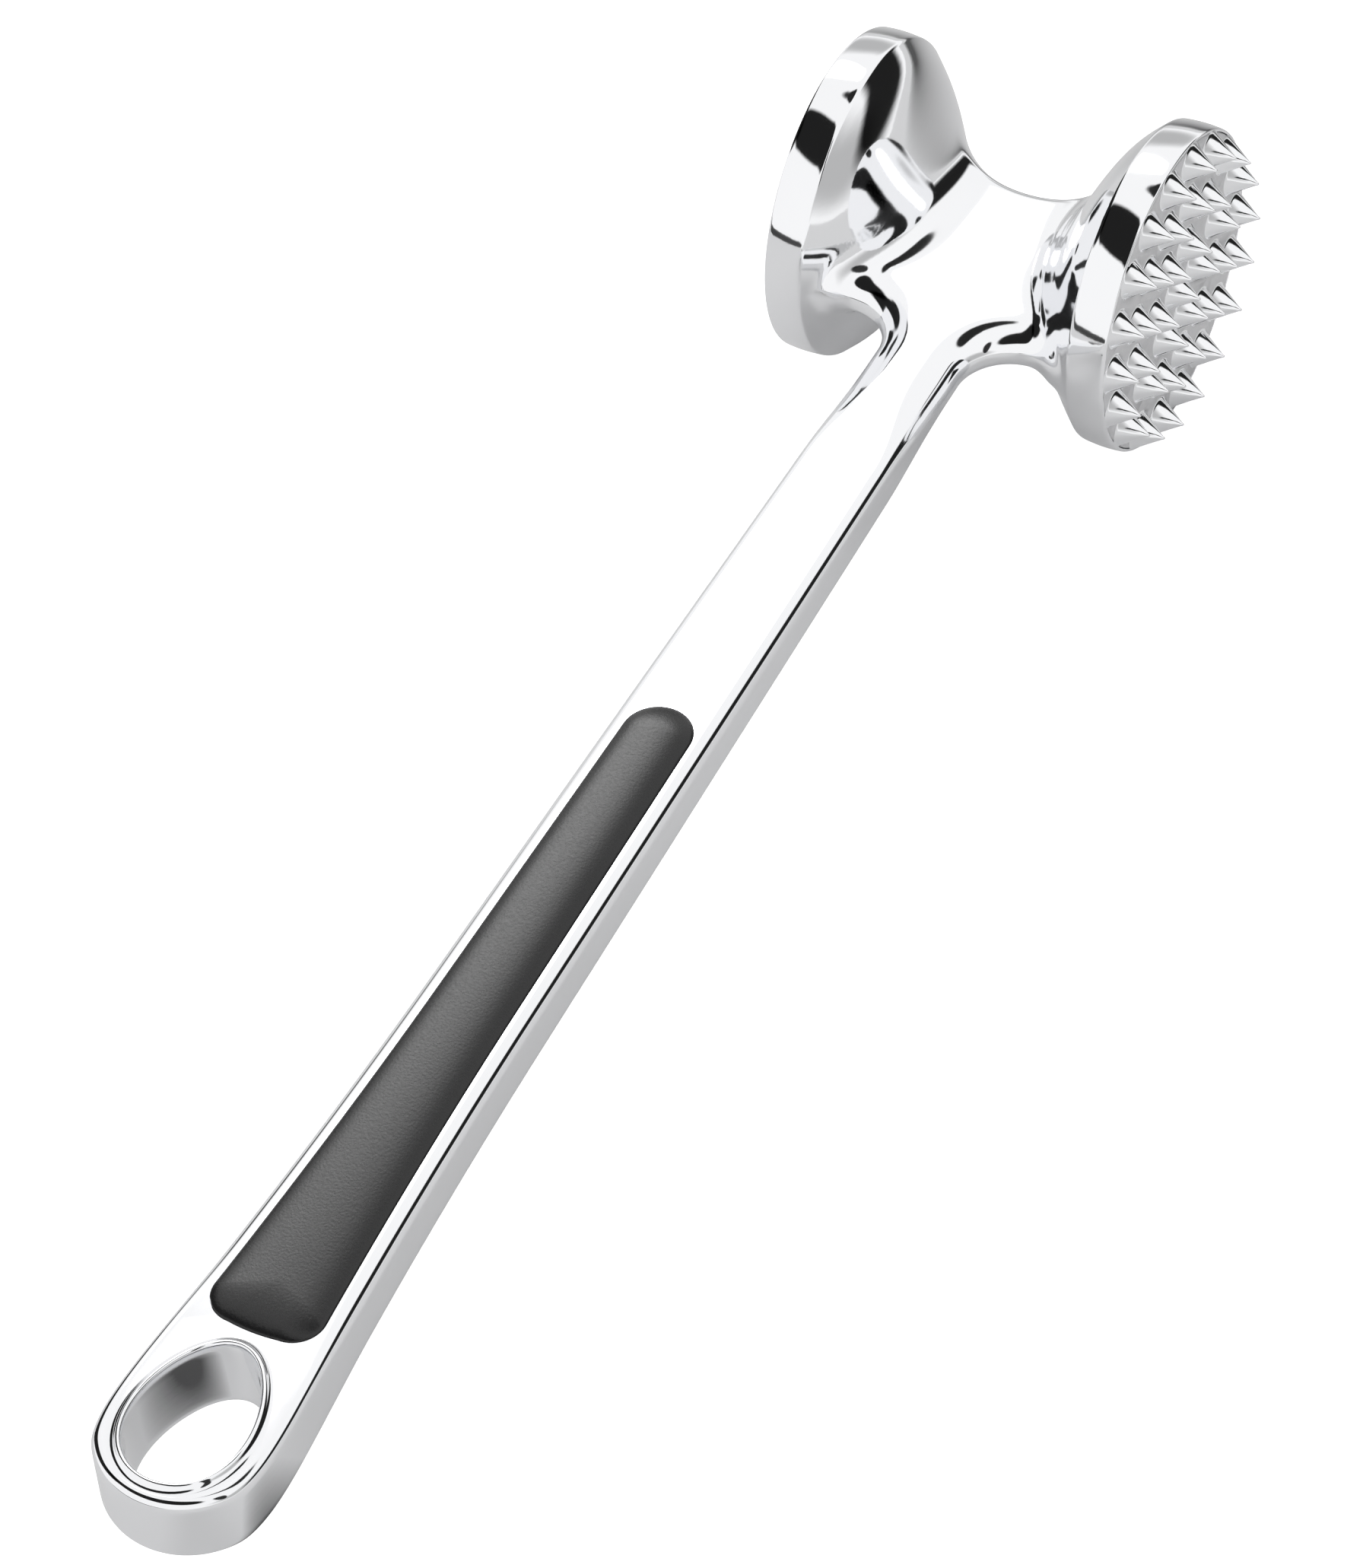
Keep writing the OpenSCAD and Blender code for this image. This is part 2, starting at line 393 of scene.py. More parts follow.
@dataclass
class HeadNet:
    """The net of points over the hub, trumpets and neck, and how it settles on the form."""

    form: HeadForm
    side_stations: int = 6
    turn_stations: int = 8
    middle_stations: int = 12
    front_rows: int = 24
    edge_rows: int = 16
    neck_rows: int = 22
    inset: float = 3.0
    neck_end: float = -60.0
    flat_support: float = 2.45
    points: list = field(default_factory=list)
    faces: list = field(default_factory=list)

    def cast(self, origin: Sequence[float], aim: Sequence[float]) -> int:
        """Adds a point where a ray from inside leaves the form.

        Args:
            origin: The ray's start.
            aim: The ray's direction.

        Returns:
            The point's number.
        """
        self.points.append((tuple(origin), tuple(aim)))
        return len(self.points) - 1

    def land(self) -> Array:
        """Finds where every ray leaves the form."""
        origin = np.array([o for o, _ in self.points], float)
        aim = np.array([d for _, d in self.points], float)
        aim /= np.linalg.norm(aim, axis=1, keepdims=True)
        low, high = np.zeros(len(origin)), np.full(len(origin), np.nan)
        for reach in np.arange(0.4, 34, 0.4):
            outside = self.form.field(origin + aim * reach) > 0
            new = outside & np.isnan(high)
            high[new] = reach
            low[~outside & np.isnan(high)] = reach
        high = np.where(np.isnan(high), low, high)
        for _ in range(22):
            middle = (low + high) / 2
            outside = self.form.field(origin + aim * middle[:, None]) > 0
            high, low = np.where(outside, middle, high), np.where(outside, low, middle)
        return origin + aim * high[:, None]

    def stations(self) -> list[tuple[float, float, float]]:
        """Place, lower start and plan turn in degrees of each upright row of points."""
        form, reach = self.form, self.form.armpit_r + self.inset
        left = []
        for i in range(self.side_stations):
            t = i / self.side_stations
            x = form.ring_x + (form.armpit_x - form.ring_x) * t
            left.append((x, form.armpit_y + reach, 0.0))
        for i in range(self.turn_stations + 1):
            a = 45 * i / self.turn_stations
            r = math.radians(a)
            x, y = form.armpit_x - reach * math.sin(r), form.armpit_y + reach * math.cos(r)
            left.append((x, y, a))
        corner_x, corner_y, _ = left[-1]
        half = [
            (corner_x * (1 - 2 * i / self.middle_stations), corner_y, 90.0)
            for i in range(1, self.middle_stations)
        ]
        return [(-x, y, a) for x, y, a in left] + [(-x, y, a) for x, y, a in half] + [
            (x, y, a) for x, y, a in reversed(left)
        ]

    def strip(
        self, start: Point3, share: float, turn: float, plan: Point2, first: int, last: int
    ) -> list[int]:
        """A row of points round the plate's edge, from the front to the back.

        Args:
            start: Where the rays start.
            share: How round the section is, from 0 on the flat to 1 at a disc.
            turn: The half angle that the row covers at a disc, in degrees.
            plan: The outward direction in the handle's plane.
            first: The point at the row's front end.
            last: The point at the row's back end.

        Returns:
            The point numbers.
        """
        row = [first]
        for s in range(1, self.edge_rows):
            a = math.radians(((1 - share) * 90 + share * turn) * (1 - 2 * s / self.edge_rows))
            aim = (plan[0] * math.cos(a), plan[1] * math.cos(a), math.sin(a))
            row.append(self.cast(start, aim))
        return [*row, last]

    def quads(self, grid: Sequence[Sequence[int]]) -> None:
        """Adds the faces between rows of points."""
        for a, b in zip(grid, grid[1:]):
            for k in range(len(a) - 1):
                self.faces.append((a[k], a[k + 1], b[k + 1], b[k]))

    def build(self) -> tuple[Array, list]:
        """Lays the net and settles it.

        Returns:
            The points and the faces.
        """
        form, handle = self.form, self.form.handle
        rows = self.stations()
        turn = 180 * self.edge_rows / (2 * self.front_rows + 2 * self.edge_rows)
        front, back, top, low = [], [], [], []
        for x, low_y, bend in rows:
            share = float(smooth_step(10, form.ring_x, abs(x)))
            top_y = form.top_edge(x) - self.inset
            column = {1: [], -1: []}
            for z in column:
                for k in range(self.front_rows + 1):
                    t = k / self.front_rows
                    y = (1 - share) * (top_y + (low_y - top_y) * t)
                    a = math.radians((1 - share) * 90 + share * (turn + (180 - 2 * turn) * t))
                    column[z].append(self.cast((x, y, 0), (0, math.cos(a), z * math.sin(a))))
            front.append(column[1])
            back.append(column[-1])
            start = (x, (1 - share) * top_y, 0)
            top.append(self.strip(start, share, turn, (0, 1), column[1][0], column[-1][0]))
            if bend < 90:
                r = math.radians(bend)
                plan = (math.copysign(math.sin(r), x), -math.cos(r))
                start = (x, (1 - share) * low_y, 0)
                low.append(self.strip(start, share, turn, plan, column[1][-1], column[-1][-1]))
        corner = self.side_stations + self.turn_stations
        far = len(rows) - 1 - corner
        for side in (front, back, top):
            self.quads(side)
        self.quads(low[: corner + 1])
        self.quads(low[corner + 1 :])
        reach = form.armpit_r + self.inset
        places = []
        for i in range(1, self.turn_stations + 1):
            r = math.radians(45 + 45 * i / self.turn_stations)
            y = form.armpit_y + reach * math.cos(r)
            places.append((y, form.armpit_x - reach * math.sin(r), math.degrees(r)))
        end_flat = float(handle.half_width(self.neck_end)) - self.flat_support
        for j in range(1, self.neck_rows + 1):
            t = j / self.neck_rows
            places.append(
                (form.armpit_y + (self.neck_end - form.armpit_y) * t,
                 places[self.turn_stations - 1][1] * (1 - t) + end_flat * t, 90.0)
            )  # fmt: skip
        grids = {1: [front_row(front, corner, far)], -1: [front_row(back, corner, far)]}
        edges = {-1: [low[corner]], 1: [low[corner + 1]]}
        for y, half, bend in places:
            n = self.middle_stations
            for z, grid in grids.items():
                across = (half * (2 * c / n - 1) for c in range(n + 1))
                grid.append([self.cast((x, y, 0), (0, 0, z)) for x in across])
            r = math.radians(bend)
            for x, end in ((-1, 0), (1, -1)):
                edges[x].append(
                    self.strip((x * half, y, 0), 0, turn, (x * math.sin(r), -math.cos(r)),
                               grids[1][-1][end], grids[-1][-1][end])
                )  # fmt: skip
        for net in (*grids.values(), *edges.values()):
            self.quads(net)
        p = self.land()
        rings = {i for side in (front, back, top) for i in (*side[0], *side[-1])}
        rings |= {*low[0], *low[-1]}
        section = {i for net in (*grids.values(), *edges.values()) for i in net[-1]}
        self.set_section(p, grids, edges)
        return self.relax(p, rings | section, 60), self.faces

    def set_section(self, p: Array, grids: dict, edges: dict) -> None:
        """Puts the neck's last section on the handle's exact profile."""
        handle, y = self.form.handle, self.neck_end
        w, h, r = float(handle.half_width(y)), float(handle.half_thick(y)), handle.edge_r
        for z, grid in grids.items():
            for c, i in enumerate(grid[-1]):
                p[i] = ((w - self.flat_support) * (2 * c / self.middle_stations - 1), y, z * h)
        profile = [(r, h)] + [
            (r - r * math.sin(a), h - r + r * math.cos(a)) for a in np.radians([22.5, 45, 67.5, 90])
        ]
        wall = [(0.0, (h - r) * (1 - 2 * i / 6)) for i in range(1, 6)]
        profile = profile + wall + [(off, -z) for off, z in reversed(profile)]
        for x, net in edges.items():
            for i, (off, z) in zip(net[-1][1:-1], profile):
                p[i] = (x * (w - off), y, z)

    def relax(self, p: Array, held: set, rounds: int) -> Array:
        """Evens out the points along the surface, apart from those that are held."""
        pairs = np.array(sorted({
            (min(f[k - 1], f[k]), max(f[k - 1], f[k])) for f in self.faces for k in range(4)
        }))  # fmt: skip
        count = np.zeros(len(p))
        np.add.at(count, pairs.ravel(), 1)
        free = np.ones_like(p)
        free[list(held)] = 0
        for _ in range(rounds):
            total = np.zeros_like(p)
            np.add.at(total, pairs[:, 0], p[pairs[:, 1]])
            np.add.at(total, pairs[:, 1], p[pairs[:, 0]])
            p = p + 0.5 * free * (total / count[:, None] - p)
            p = self.form.settle(p, free, 2)
        return self.form.settle(p, free, 6)


def front_row(grid: Sequence[Sequence[int]], first: int, last: int) -> list[int]:
    """The lowest points of the columns from first to last."""
    return [grid[i][-1] for i in range(first, last + 1)]


@dataclass
class MalletBody:
    """The chromed casting: two discs, the hub between them, and the handle."""

    plan: HandlePlan = field(default_factory=HandlePlan)
    hole: HoleRing = field(default_factory=HoleRing)
    rim_r: float = 27.0
    seat_r: float = 26.28
    seat_x: float = 27.15
    bore_r: float = 3.55
    bore_x: float = 17.2
    lip_height: float = 0.85
    lip_width: float = 2.0
    band_from: float = 24.3
    band_middle: float = 26.8
    band_crown: float = 0.14
    band_steps: int = 10
    flat_support: float = 2.45
    taper_from: float = -230.0
    pocket_lip: float = 0.12

    def __post_init__(self) -> None:
        """Makes the plans that depend on the handle's."""
        self.grip = GripPlan(self.plan)
        self.form = HeadForm(self.plan)

    def head(self) -> bpy.types.Object:
        """The hub, trumpets and neck as a fine net that lies on the form."""
        net = HeadNet(self.form)
        points, faces = net.build()
        obj = object_from("mallet_body_chrome", points, faces)
        apply_modifier(obj, "SUBSURF", levels=1, render_levels=1)
        mesh = bmesh.new()
        mesh.from_mesh(obj.data)
        edge = {v.index for v in mesh.verts if v.is_boundary}
        mesh.free()
        p = np.array([v.co[:] for v in obj.data.vertices]) / MM
        free = np.ones_like(p)
        ring_r = self.form.ring_radius()
        for i in edge:
            if p[i, 1] < net.neck_end + 1:
                free[i, 1], p[i, 1] = 0, net.neck_end
            else:
                free[i] = 0
                p[i, 0] = math.copysign(self.form.ring_x, p[i, 0])
                p[i, 1:] *= ring_r / np.linalg.norm(p[i, 1:])
        p = self.form.settle(p, free, 8)
        p[:, 0] += self.plan.mid_x
        obj.data.vertices.foreach_set("co", (p * MM).astype(np.float32).ravel())
        obj.data.update()
        return obj

    def build(self) -> bpy.types.Object:
        """Builds the whole casting.

        Returns:
            One closed mesh in the row frame.
        """
        obj = self.head()
        mesh = bmesh.new()
        mesh.from_mesh(obj.data)
        loops = open_loops(mesh)
        left = min(loops, key=lambda c: sum(v.co.x for v in c) / len(c))
        right = max(loops, key=lambda c: sum(v.co.x for v in c) / len(c))
        neck = min(loops, key=lambda c: sum(v.co.y for v in c) / len(c))
        self.turn_disc(mesh, left, -1)
        self.turn_disc(mesh, right, 1)
        self.draw_handle(mesh, neck)
        bmesh.ops.remove_doubles(mesh, verts=mesh.verts, dist=0.002 * MM)
        bmesh.ops.recalc_face_normals(mesh, faces=mesh.faces)
        mesh.to_mesh(obj.data)
        mesh.free()
        smooth_shading(obj, 40)
        return obj

    def turn_disc(self, mesh: bmesh.types.BMesh, loop: list, end: int) -> None:
        """Carries a trumpet's edge over the disc's band and into the plate's seat.

        Args:
            mesh: The mesh to add to.
            loop: The trumpet's edge.
            end: −1 for the smooth end and 1 for the spiked end.
        """
        r = self.rim_r
        face = self.plan.mid_x
        half = self.band_middle - self.band_from
        band = [2 * i / self.band_steps - 1 for i in range(self.band_steps + 1)]
        profile = [
            (23.3, 26.64), (23.55, 26.75), (23.88, 26.82),
            *((self.band_middle + half * t, r - self.band_crown * t * t) for t in band),
            (29.52, 26.81), (29.64, 26.74), (29.72, 26.65), (face, 26.54),
            (face, 26.4), (29.72, 26.32), (29.64, self.seat_r), (29.4, self.seat_r),
            (self.seat_x, self.seat_r), (self.seat_x, self.seat_r - 0.4),
            (self.seat_x, self.bore_r), (self.bore_x, self.bore_r),
        ]  # fmt: skip
        turns = [math.atan2(v.co.z, v.co.y) for v in loop]
        ring = loop
        for x, radius in profile:
            place = self.plan.mid_x + end * x
            ring = next_ring(
                mesh, ring,
                [(place, radius * math.cos(a), radius * math.sin(a)) for a in turns],
            )  # fmt: skip
        mesh.faces.new(ring)

    def draw_handle(self, mesh: bmesh.types.BMesh, neck: list) -> None:
        """Draws the handle from the neck's open edge: its sides, faces, pockets and hole.

        Args:
            mesh: The mesh to add to.
            neck: The neck's open edge.
        """
        plan, mid = self.plan, self.plan.mid_x
        start_y = neck[0].co.y / MM
        w0, h0 = float(plan.half_width(start_y)), float(plan.half_thick(start_y))
        at = [(v, v.co.x / MM - mid, v.co.z / MM) for v in neck]
        flat = [t for t in at if abs(t[1]) <= w0 - self.flat_support + 0.02]
        front = sorted((t for t in flat if t[2] > h0 - 0.05), key=lambda t: t[1])
        rear = sorted((t for t in flat if t[2] < 0.05 - h0), key=lambda t: t[1])
        n, k = len(neck), next(i for i, t in enumerate(at) if t[0] is front[0][0])
        order = [at[(k + i) % n] for i in range(n)]
        if order[1][1] > order[0][1]:
            order = [order[0], *reversed(order[1:])]
        stop = next(i for i, t in enumerate(order) if t[0] is rear[0][0])
        left = order[: stop + 1]
        back_stop = next(i for i, t in enumerate(order) if t[0] is rear[-1][0])
        front_stop = next(i for i, t in enumerate(order) if t[0] is front[-1][0])
        right = list(reversed(order[back_stop : front_stop + 1]))
        outline = self.side_path(start_y)
        shape = [(w0 - abs(x), z) for _, x, z in left]
        row, rows = [v for v, _, _ in left], []
        for i, (px, py, nx, ny) in enumerate(outline):
            h = float(plan.half_thick(py))
            share = float(plan.edge_round(np.array(py))) / plan.edge_r
            if i == len(outline) - 1:
                new = [v for v, _, _ in right]
            else:
                new = []
                wall0, wall = h0 - plan.edge_r, h - plan.edge_r * share
                for off, z in shape:
                    if abs(z) > wall0:
                        height = math.copysign(h - (h0 - abs(z)) * share, z)
                    else:
                        height = z * wall / wall0
                    place = (mid + px - nx * off * share, py - ny * off * share, height)
                    new.append(mesh.verts.new(Vector(place) * MM))
            join_rows(mesh, row, new)
            row = new
            rows.append(new)
        columns = {1: [r[0] for r in rows[:-1]], -1: [r[-1] for r in rows[:-1]]}
        tops = {1: [t[0] for t in front], -1: [t[0] for t in rear]}
        lips = {}
        for z in (1, -1):
            lips[z] = self.cut_face(mesh, tops[z], columns[z], z)
        join_loops(mesh, lips[1], lips[-1])

    def side_path(self, start_y: float) -> list[tuple[float, float, float, float]]:
        """The handle's outline from its left side round the end to its right side.

        Args:
            start_y: Where the outline starts and ends.

        Returns:
            Places and outward normals, without the first station.
        """
        plan = self.plan
        near, far = self.taper_from, plan.end_y + 3
        ys = np.concatenate([np.linspace(start_y, near, 70), np.linspace(near, far, 30)[1:]])
        side = [(float(plan.half_width(y)), float(y)) for y in ys]
        arc = [
            (plan.end_r * math.cos(a), plan.end_y - plan.end_r * math.sin(a))
            for a in np.radians(np.arange(3, 91, 3))
        ]
        half = np.array(side + arc)
        for _ in range(40):
            calm = half.copy()
            calm[1:-1] = (half[:-2] + 2 * half[1:-1] + half[2:]) / 4
            near = smooth_step(9, 4, np.abs(half[:, 1] - plan.end_y - 1.5))[:, None]
            half = half + near * (calm - half)
        path = np.array([(-x, y) for x, y in half] + [(x, y) for x, y in half[-2::-1]])
        along = np.gradient(path, axis=0)
        along /= np.linalg.norm(along, axis=1, keepdims=True)
        return [
            (x, y, float(t[1]), -float(t[0])) for (x, y), t in zip(path.tolist(), along)
        ][1:]

    def lip_profile(self) -> list[Point2]:
        """Distance outside the hole's edge and height above the face, from outside inwards."""
        h, w = self.lip_height, self.lip_width
        shape = [
            (1.0, 0.0), (0.95, 0.015), (0.88, 0.05), (0.8, 0.12), (0.72, 0.23), (0.64, 0.39),
            (0.57, 0.58), (0.5, 0.77), (0.43, 0.91), (0.36, 0.985), (0.29, 1.0), (0.22, 0.94),
            (0.155, 0.8), (0.1, 0.56), (0.055, 0.24), (0.02, -0.2), (0.0, -0.8), (0.0, -1.9),
        ]  # fmt: skip
        return [(w * out, h * up) for out, up in shape]

    def cut_face(self, mesh: bmesh.types.BMesh, top: list, column: list, z: int) -> list:
        """Fills one face of the handle round its pocket and hole, and sinks both.

        Args:
            mesh: The mesh to add to.
            top: The neck's points on this face, from left to right.
            column: The face's other edge points, from left round to right.
            z: 1 for the front face and −1 for the rear face.

        Returns:
            The last ring of points inside the hole.
        """
        plan, mid = self.plan, self.plan.mid_x
        outer = [*top, *reversed(column)]
        pocket = self.grip.outline()
        profile = self.lip_profile()
        ring = self.hole.outline(profile[0][0])
        outer_2d = [(v.co.x / MM - mid, v.co.y / MM) for v in outer]
        fill = [(x, y) for y in np.arange(-64, -114, -3.5) for x in (-3.2, 0.0, 3.2)]
        flat = [*outer_2d, *pocket, *ring, *fill]
        a, b, c = len(outer_2d), len(pocket), len(ring)
        edges = loop_edges(0, a) + loop_edges(a, b) + loop_edges(a + b, c)
        made, _, faces, origin, _, _ = delaunay_2d_cdt(
            [Vector(p) for p in flat], edges, [], 1, 1e-5, True
        )
        verts = []
        for p, ids in zip(made, origin):
            if ids and ids[0] < a:
                verts.append(outer[ids[0]])
            else:
                height = z * float(plan.half_thick(p.y))
                verts.append(mesh.verts.new(Vector((mid + p.x, p.y, height)) * MM))
        index = {i: k for k, ids in enumerate(origin) for i in ids}
        for face in faces:
            middle = sum((made[i] for i in face), Vector((0, 0))) / len(face)
            spot = (middle.x, middle.y)
            if inside(spot, outer_2d) and not inside(spot, pocket) and not inside(spot, ring):
                mesh.faces.new([verts[i] for i in face])
        row = [verts[index[a + i]] for i in range(b)]
        for drop in (self.pocket_lip, self.grip.depth):
            row = next_ring(
                mesh, row,
                [(mid + x, y, z * (float(plan.half_thick(y)) - drop)) for x, y in pocket],
            )  # fmt: skip
        floor = mesh.faces.new(row)
        bmesh.ops.triangulate(mesh, faces=[floor])
        row = [verts[index[a + b + i]] for i in range(c)]
        for grow, rise in profile[1:]:
            around = self.hole.outline(grow)
            row = next_ring(
                mesh, row,
                [(mid + x, y, z * (float(plan.half_thick(y)) + rise)) for x, y in around],
            )  # fmt: skip
        return row


def loop_edges(start: int, count: int) -> list[tuple[int, int]]:
    """Pairs of neighbours round a loop of count points that starts at start."""
    return [(start + i, start + (i + 1) % count) for i in range(count)]


def open_loops(mesh: bmesh.types.BMesh) -> list[list]:
    """The open edges of a mesh as ordered loops of points."""
    near = {}
    for e in mesh.edges:
        if e.is_boundary:
            a, b = e.verts
            near.setdefault(a, []).append(b)
            near.setdefault(b, []).append(a)
    loops, seen = [], set()
    for start in near:
        if start in seen:
            continue
        loop, here = [start], start
        seen.add(start)
        while True:
            ahead = [v for v in near[here] if v not in seen]
            if not ahead:
                break
            here = ahead[0]
            seen.add(here)
            loop.append(here)
        loops.append(loop)
    return loops


def join_rows(mesh: bmesh.types.BMesh, a: list, b: list) -> None:
    """Adds the faces between two open rows of as many points."""
    for i in range(len(a) - 1):
        mesh.faces.new((a[i], a[i + 1], b[i + 1], b[i]))


def join_loops(mesh: bmesh.types.BMesh, a: list, b: list) -> None:
    """Adds the faces between two closed loops of as many points."""
    for i in range(len(a)):
        k = (i + 1) % len(a)
        mesh.faces.new((a[i], a[k], b[k], b[i]))


def next_ring(mesh: bmesh.types.BMesh, ring: list, places: Sequence) -> list:
    """Adds a ring of points and the faces that join it to the ring before.

    Args:
        mesh: The mesh to add to.
        ring: The ring before.
        places: The new ring's points, in millimetres.

    Returns:
        The new ring.
    """
    new = [mesh.verts.new(Vector(p) * MM) for p in places]
    join_loops(mesh, ring, new)
    return new


# ---------------------------------------------------------------- plates and inlays


def turned_piece(
    name: str, end: int, face_x: float, profile: Sequence[Point2], steps: int
) -> bpy.types.Object:
    """Turns a solid about the head's axis from a circle, by extruding and resizing it.

    Args:
        name: The piece's name.
        end: The direction in which the profile's places count, 1 or −1.
        face_x: The place along the head from which the profile counts, in millimetres.
        profile: Pairs of place and radius in millimetres, from the inner end outwards.
        steps: The number of points round the piece.

    Returns:
        The closed piece, with its place in its mesh.
    """
    deselect_all()
    place, radius = profile[0]
    bpy.ops.mesh.primitive_circle_add(
        vertices=steps, radius=radius * MM, fill_type="NGON",
        location=((face_x + end * place) * MM, 0, 0), rotation=(0, math.pi / 2, 0),
    )  # fmt: skip
    obj = bpy.context.active_object
    obj.name = obj.data.name = name
    bpy.ops.object.transform_apply(location=True, rotation=True, scale=True)
    bpy.ops.object.mode_set(mode="EDIT")
    bpy.ops.mesh.select_all(action="SELECT")
    for (x0, r0), (x1, r1) in zip(profile, profile[1:]):
        bpy.ops.mesh.extrude_region_move(
            TRANSFORM_OT_translate={"value": (end * (x1 - x0) * MM, 0, 0)}
        )
        bpy.ops.transform.resize(
            value=(1, r1 / r0, r1 / r0), center_override=((face_x + end * x1) * MM, 0, 0)
        )
    bpy.ops.mesh.select_all(action="SELECT")
    bpy.ops.mesh.normals_make_consistent(inside=False)
    bpy.ops.object.mode_set(mode="OBJECT")
    return obj


@dataclass
class StrikingPlate:
    """The disc that both striking faces share, with the spigot that holds it."""

    face_x: float
    end: HeadEnd
    radius: float = 26.2
    thick: float = 2.6
    spigot_r: float = 3.5
    spigot_len: float = 9.8
    steps: int = 128

    def blank(self, name: str) -> bpy.types.Object:
        """Turns the disc and its spigot.

        Args:
            name: The piece's name.

        Returns:
            The closed blank.
        """
        back, r = -self.thick, self.radius
        profile = [
            (back - self.spigot_len, self.spigot_r - 0.3),
            (back - self.spigot_len + 0.3, self.spigot_r),
            (back, self.spigot_r), (back + 0.001, r - 0.2), (back + 0.2, r), (-0.5, r),
            (-0.22, r - 0.03), (-0.08, r - 0.12), (0.0, r - 0.3), (0.0, r - 1.2),
        ]  # fmt: skip
        return turned_piece(name, self.end.value, self.face_x, profile, self.steps)


@dataclass
class SpikePattern:
    """The rings of spikes on the spiked plate."""

    rings: int = 3
    step: float = 7.75
    turn: float = -7.0
    foot_r: float = 3.2
    height: float = 4.75
    steps: int = 32

    def places(self) -> list[Point2]:
        """The spikes' places across the plate, as pairs along +Y and +Z."""
        made = [(0.0, 0.0)]
        for ring in range(1, self.rings + 1):
            for i in range(6 * ring):
                a = math.radians(self.turn + (i + (0.5 if ring == 2 else 0)) * 60 / ring)
                made.append((ring * self.step * math.cos(a), ring * self.step * math.sin(a)))
        return made

    def one(self, face_x: float) -> bpy.types.Object:
        """Draws out one spike on the head's axis.

        Args:
            face_x: The place of the plate's face along the head.

        Returns:
            The spike, with its foot sunk in the plate.
        """
        r, h = self.foot_r, self.height
        profile = [
            (-0.4, r + 0.2), (-0.02, r + 0.2), (0.1, r + 0.02), (0.3, r - 0.2), (h * 0.5, r * 0.5),
            (h - 0.42, r * 0.105), (h - 0.2, r * 0.078), (h - 0.07, r * 0.047), (h, r * 0.012),
        ]  # fmt: skip
        return turned_piece("spike", 1, face_x, profile, self.steps)


@dataclass
class SpikedPlate:
    """The plate at the +X end, with its 37 polished spikes on a satin ground."""

    face_x: float
    polish_rise: float = 0.004
    pattern: SpikePattern = field(default_factory=SpikePattern)

    def build(self) -> bpy.types.Object:
        """Builds the plate and joins its spikes to it."""
        plate = StrikingPlate(self.face_x, HeadEnd.SPIKED).blank("spiked_plate_steel")
        first = self.pattern.one(self.face_x)
        spikes = []
        for y, z in self.pattern.places():
            spike = first.copy()
            spike.data = first.data.copy()
            spike.data.transform(Matrix.Translation((0, y * MM, z * MM)))
            bpy.context.scene.collection.objects.link(spike)
            spikes.append(spike)
        bpy.data.objects.remove(first)
        deselect_all()
        for spike in spikes:
            spike.select_set(True)
        bpy.context.view_layer.objects.active = spikes[0]
        bpy.ops.object.join()
        apply_modifier(plate, "BOOLEAN", operation="UNION", object=spikes[0], solver="EXACT")
        bpy.data.objects.remove(spikes[0])
        smooth_shading(plate, 35)
        return plate

    def dress(
        self, plate: bpy.types.Object, ground: bpy.types.Material, polished: bpy.types.Material
    ) -> None:
        """Gives the ground and the spikes their finishes."""
        plate.data.materials.append(ground)
        plate.data.materials.append(polished)
        for face in plate.data.polygons:
            face.material_index = int(face.center.x > (self.face_x + self.polish_rise) * MM)


@dataclass
class SmoothPlate:
    """The plain polished plate at the x = 0 end."""

    face_x: float = 0.0

    def build(self) -> bpy.types.Object:
        """Builds the plate."""
        plate = StrikingPlate(self.face_x, HeadEnd.SMOOTH).blank("smooth_plate_chrome")
        smooth_shading(plate, 35)
        return plate


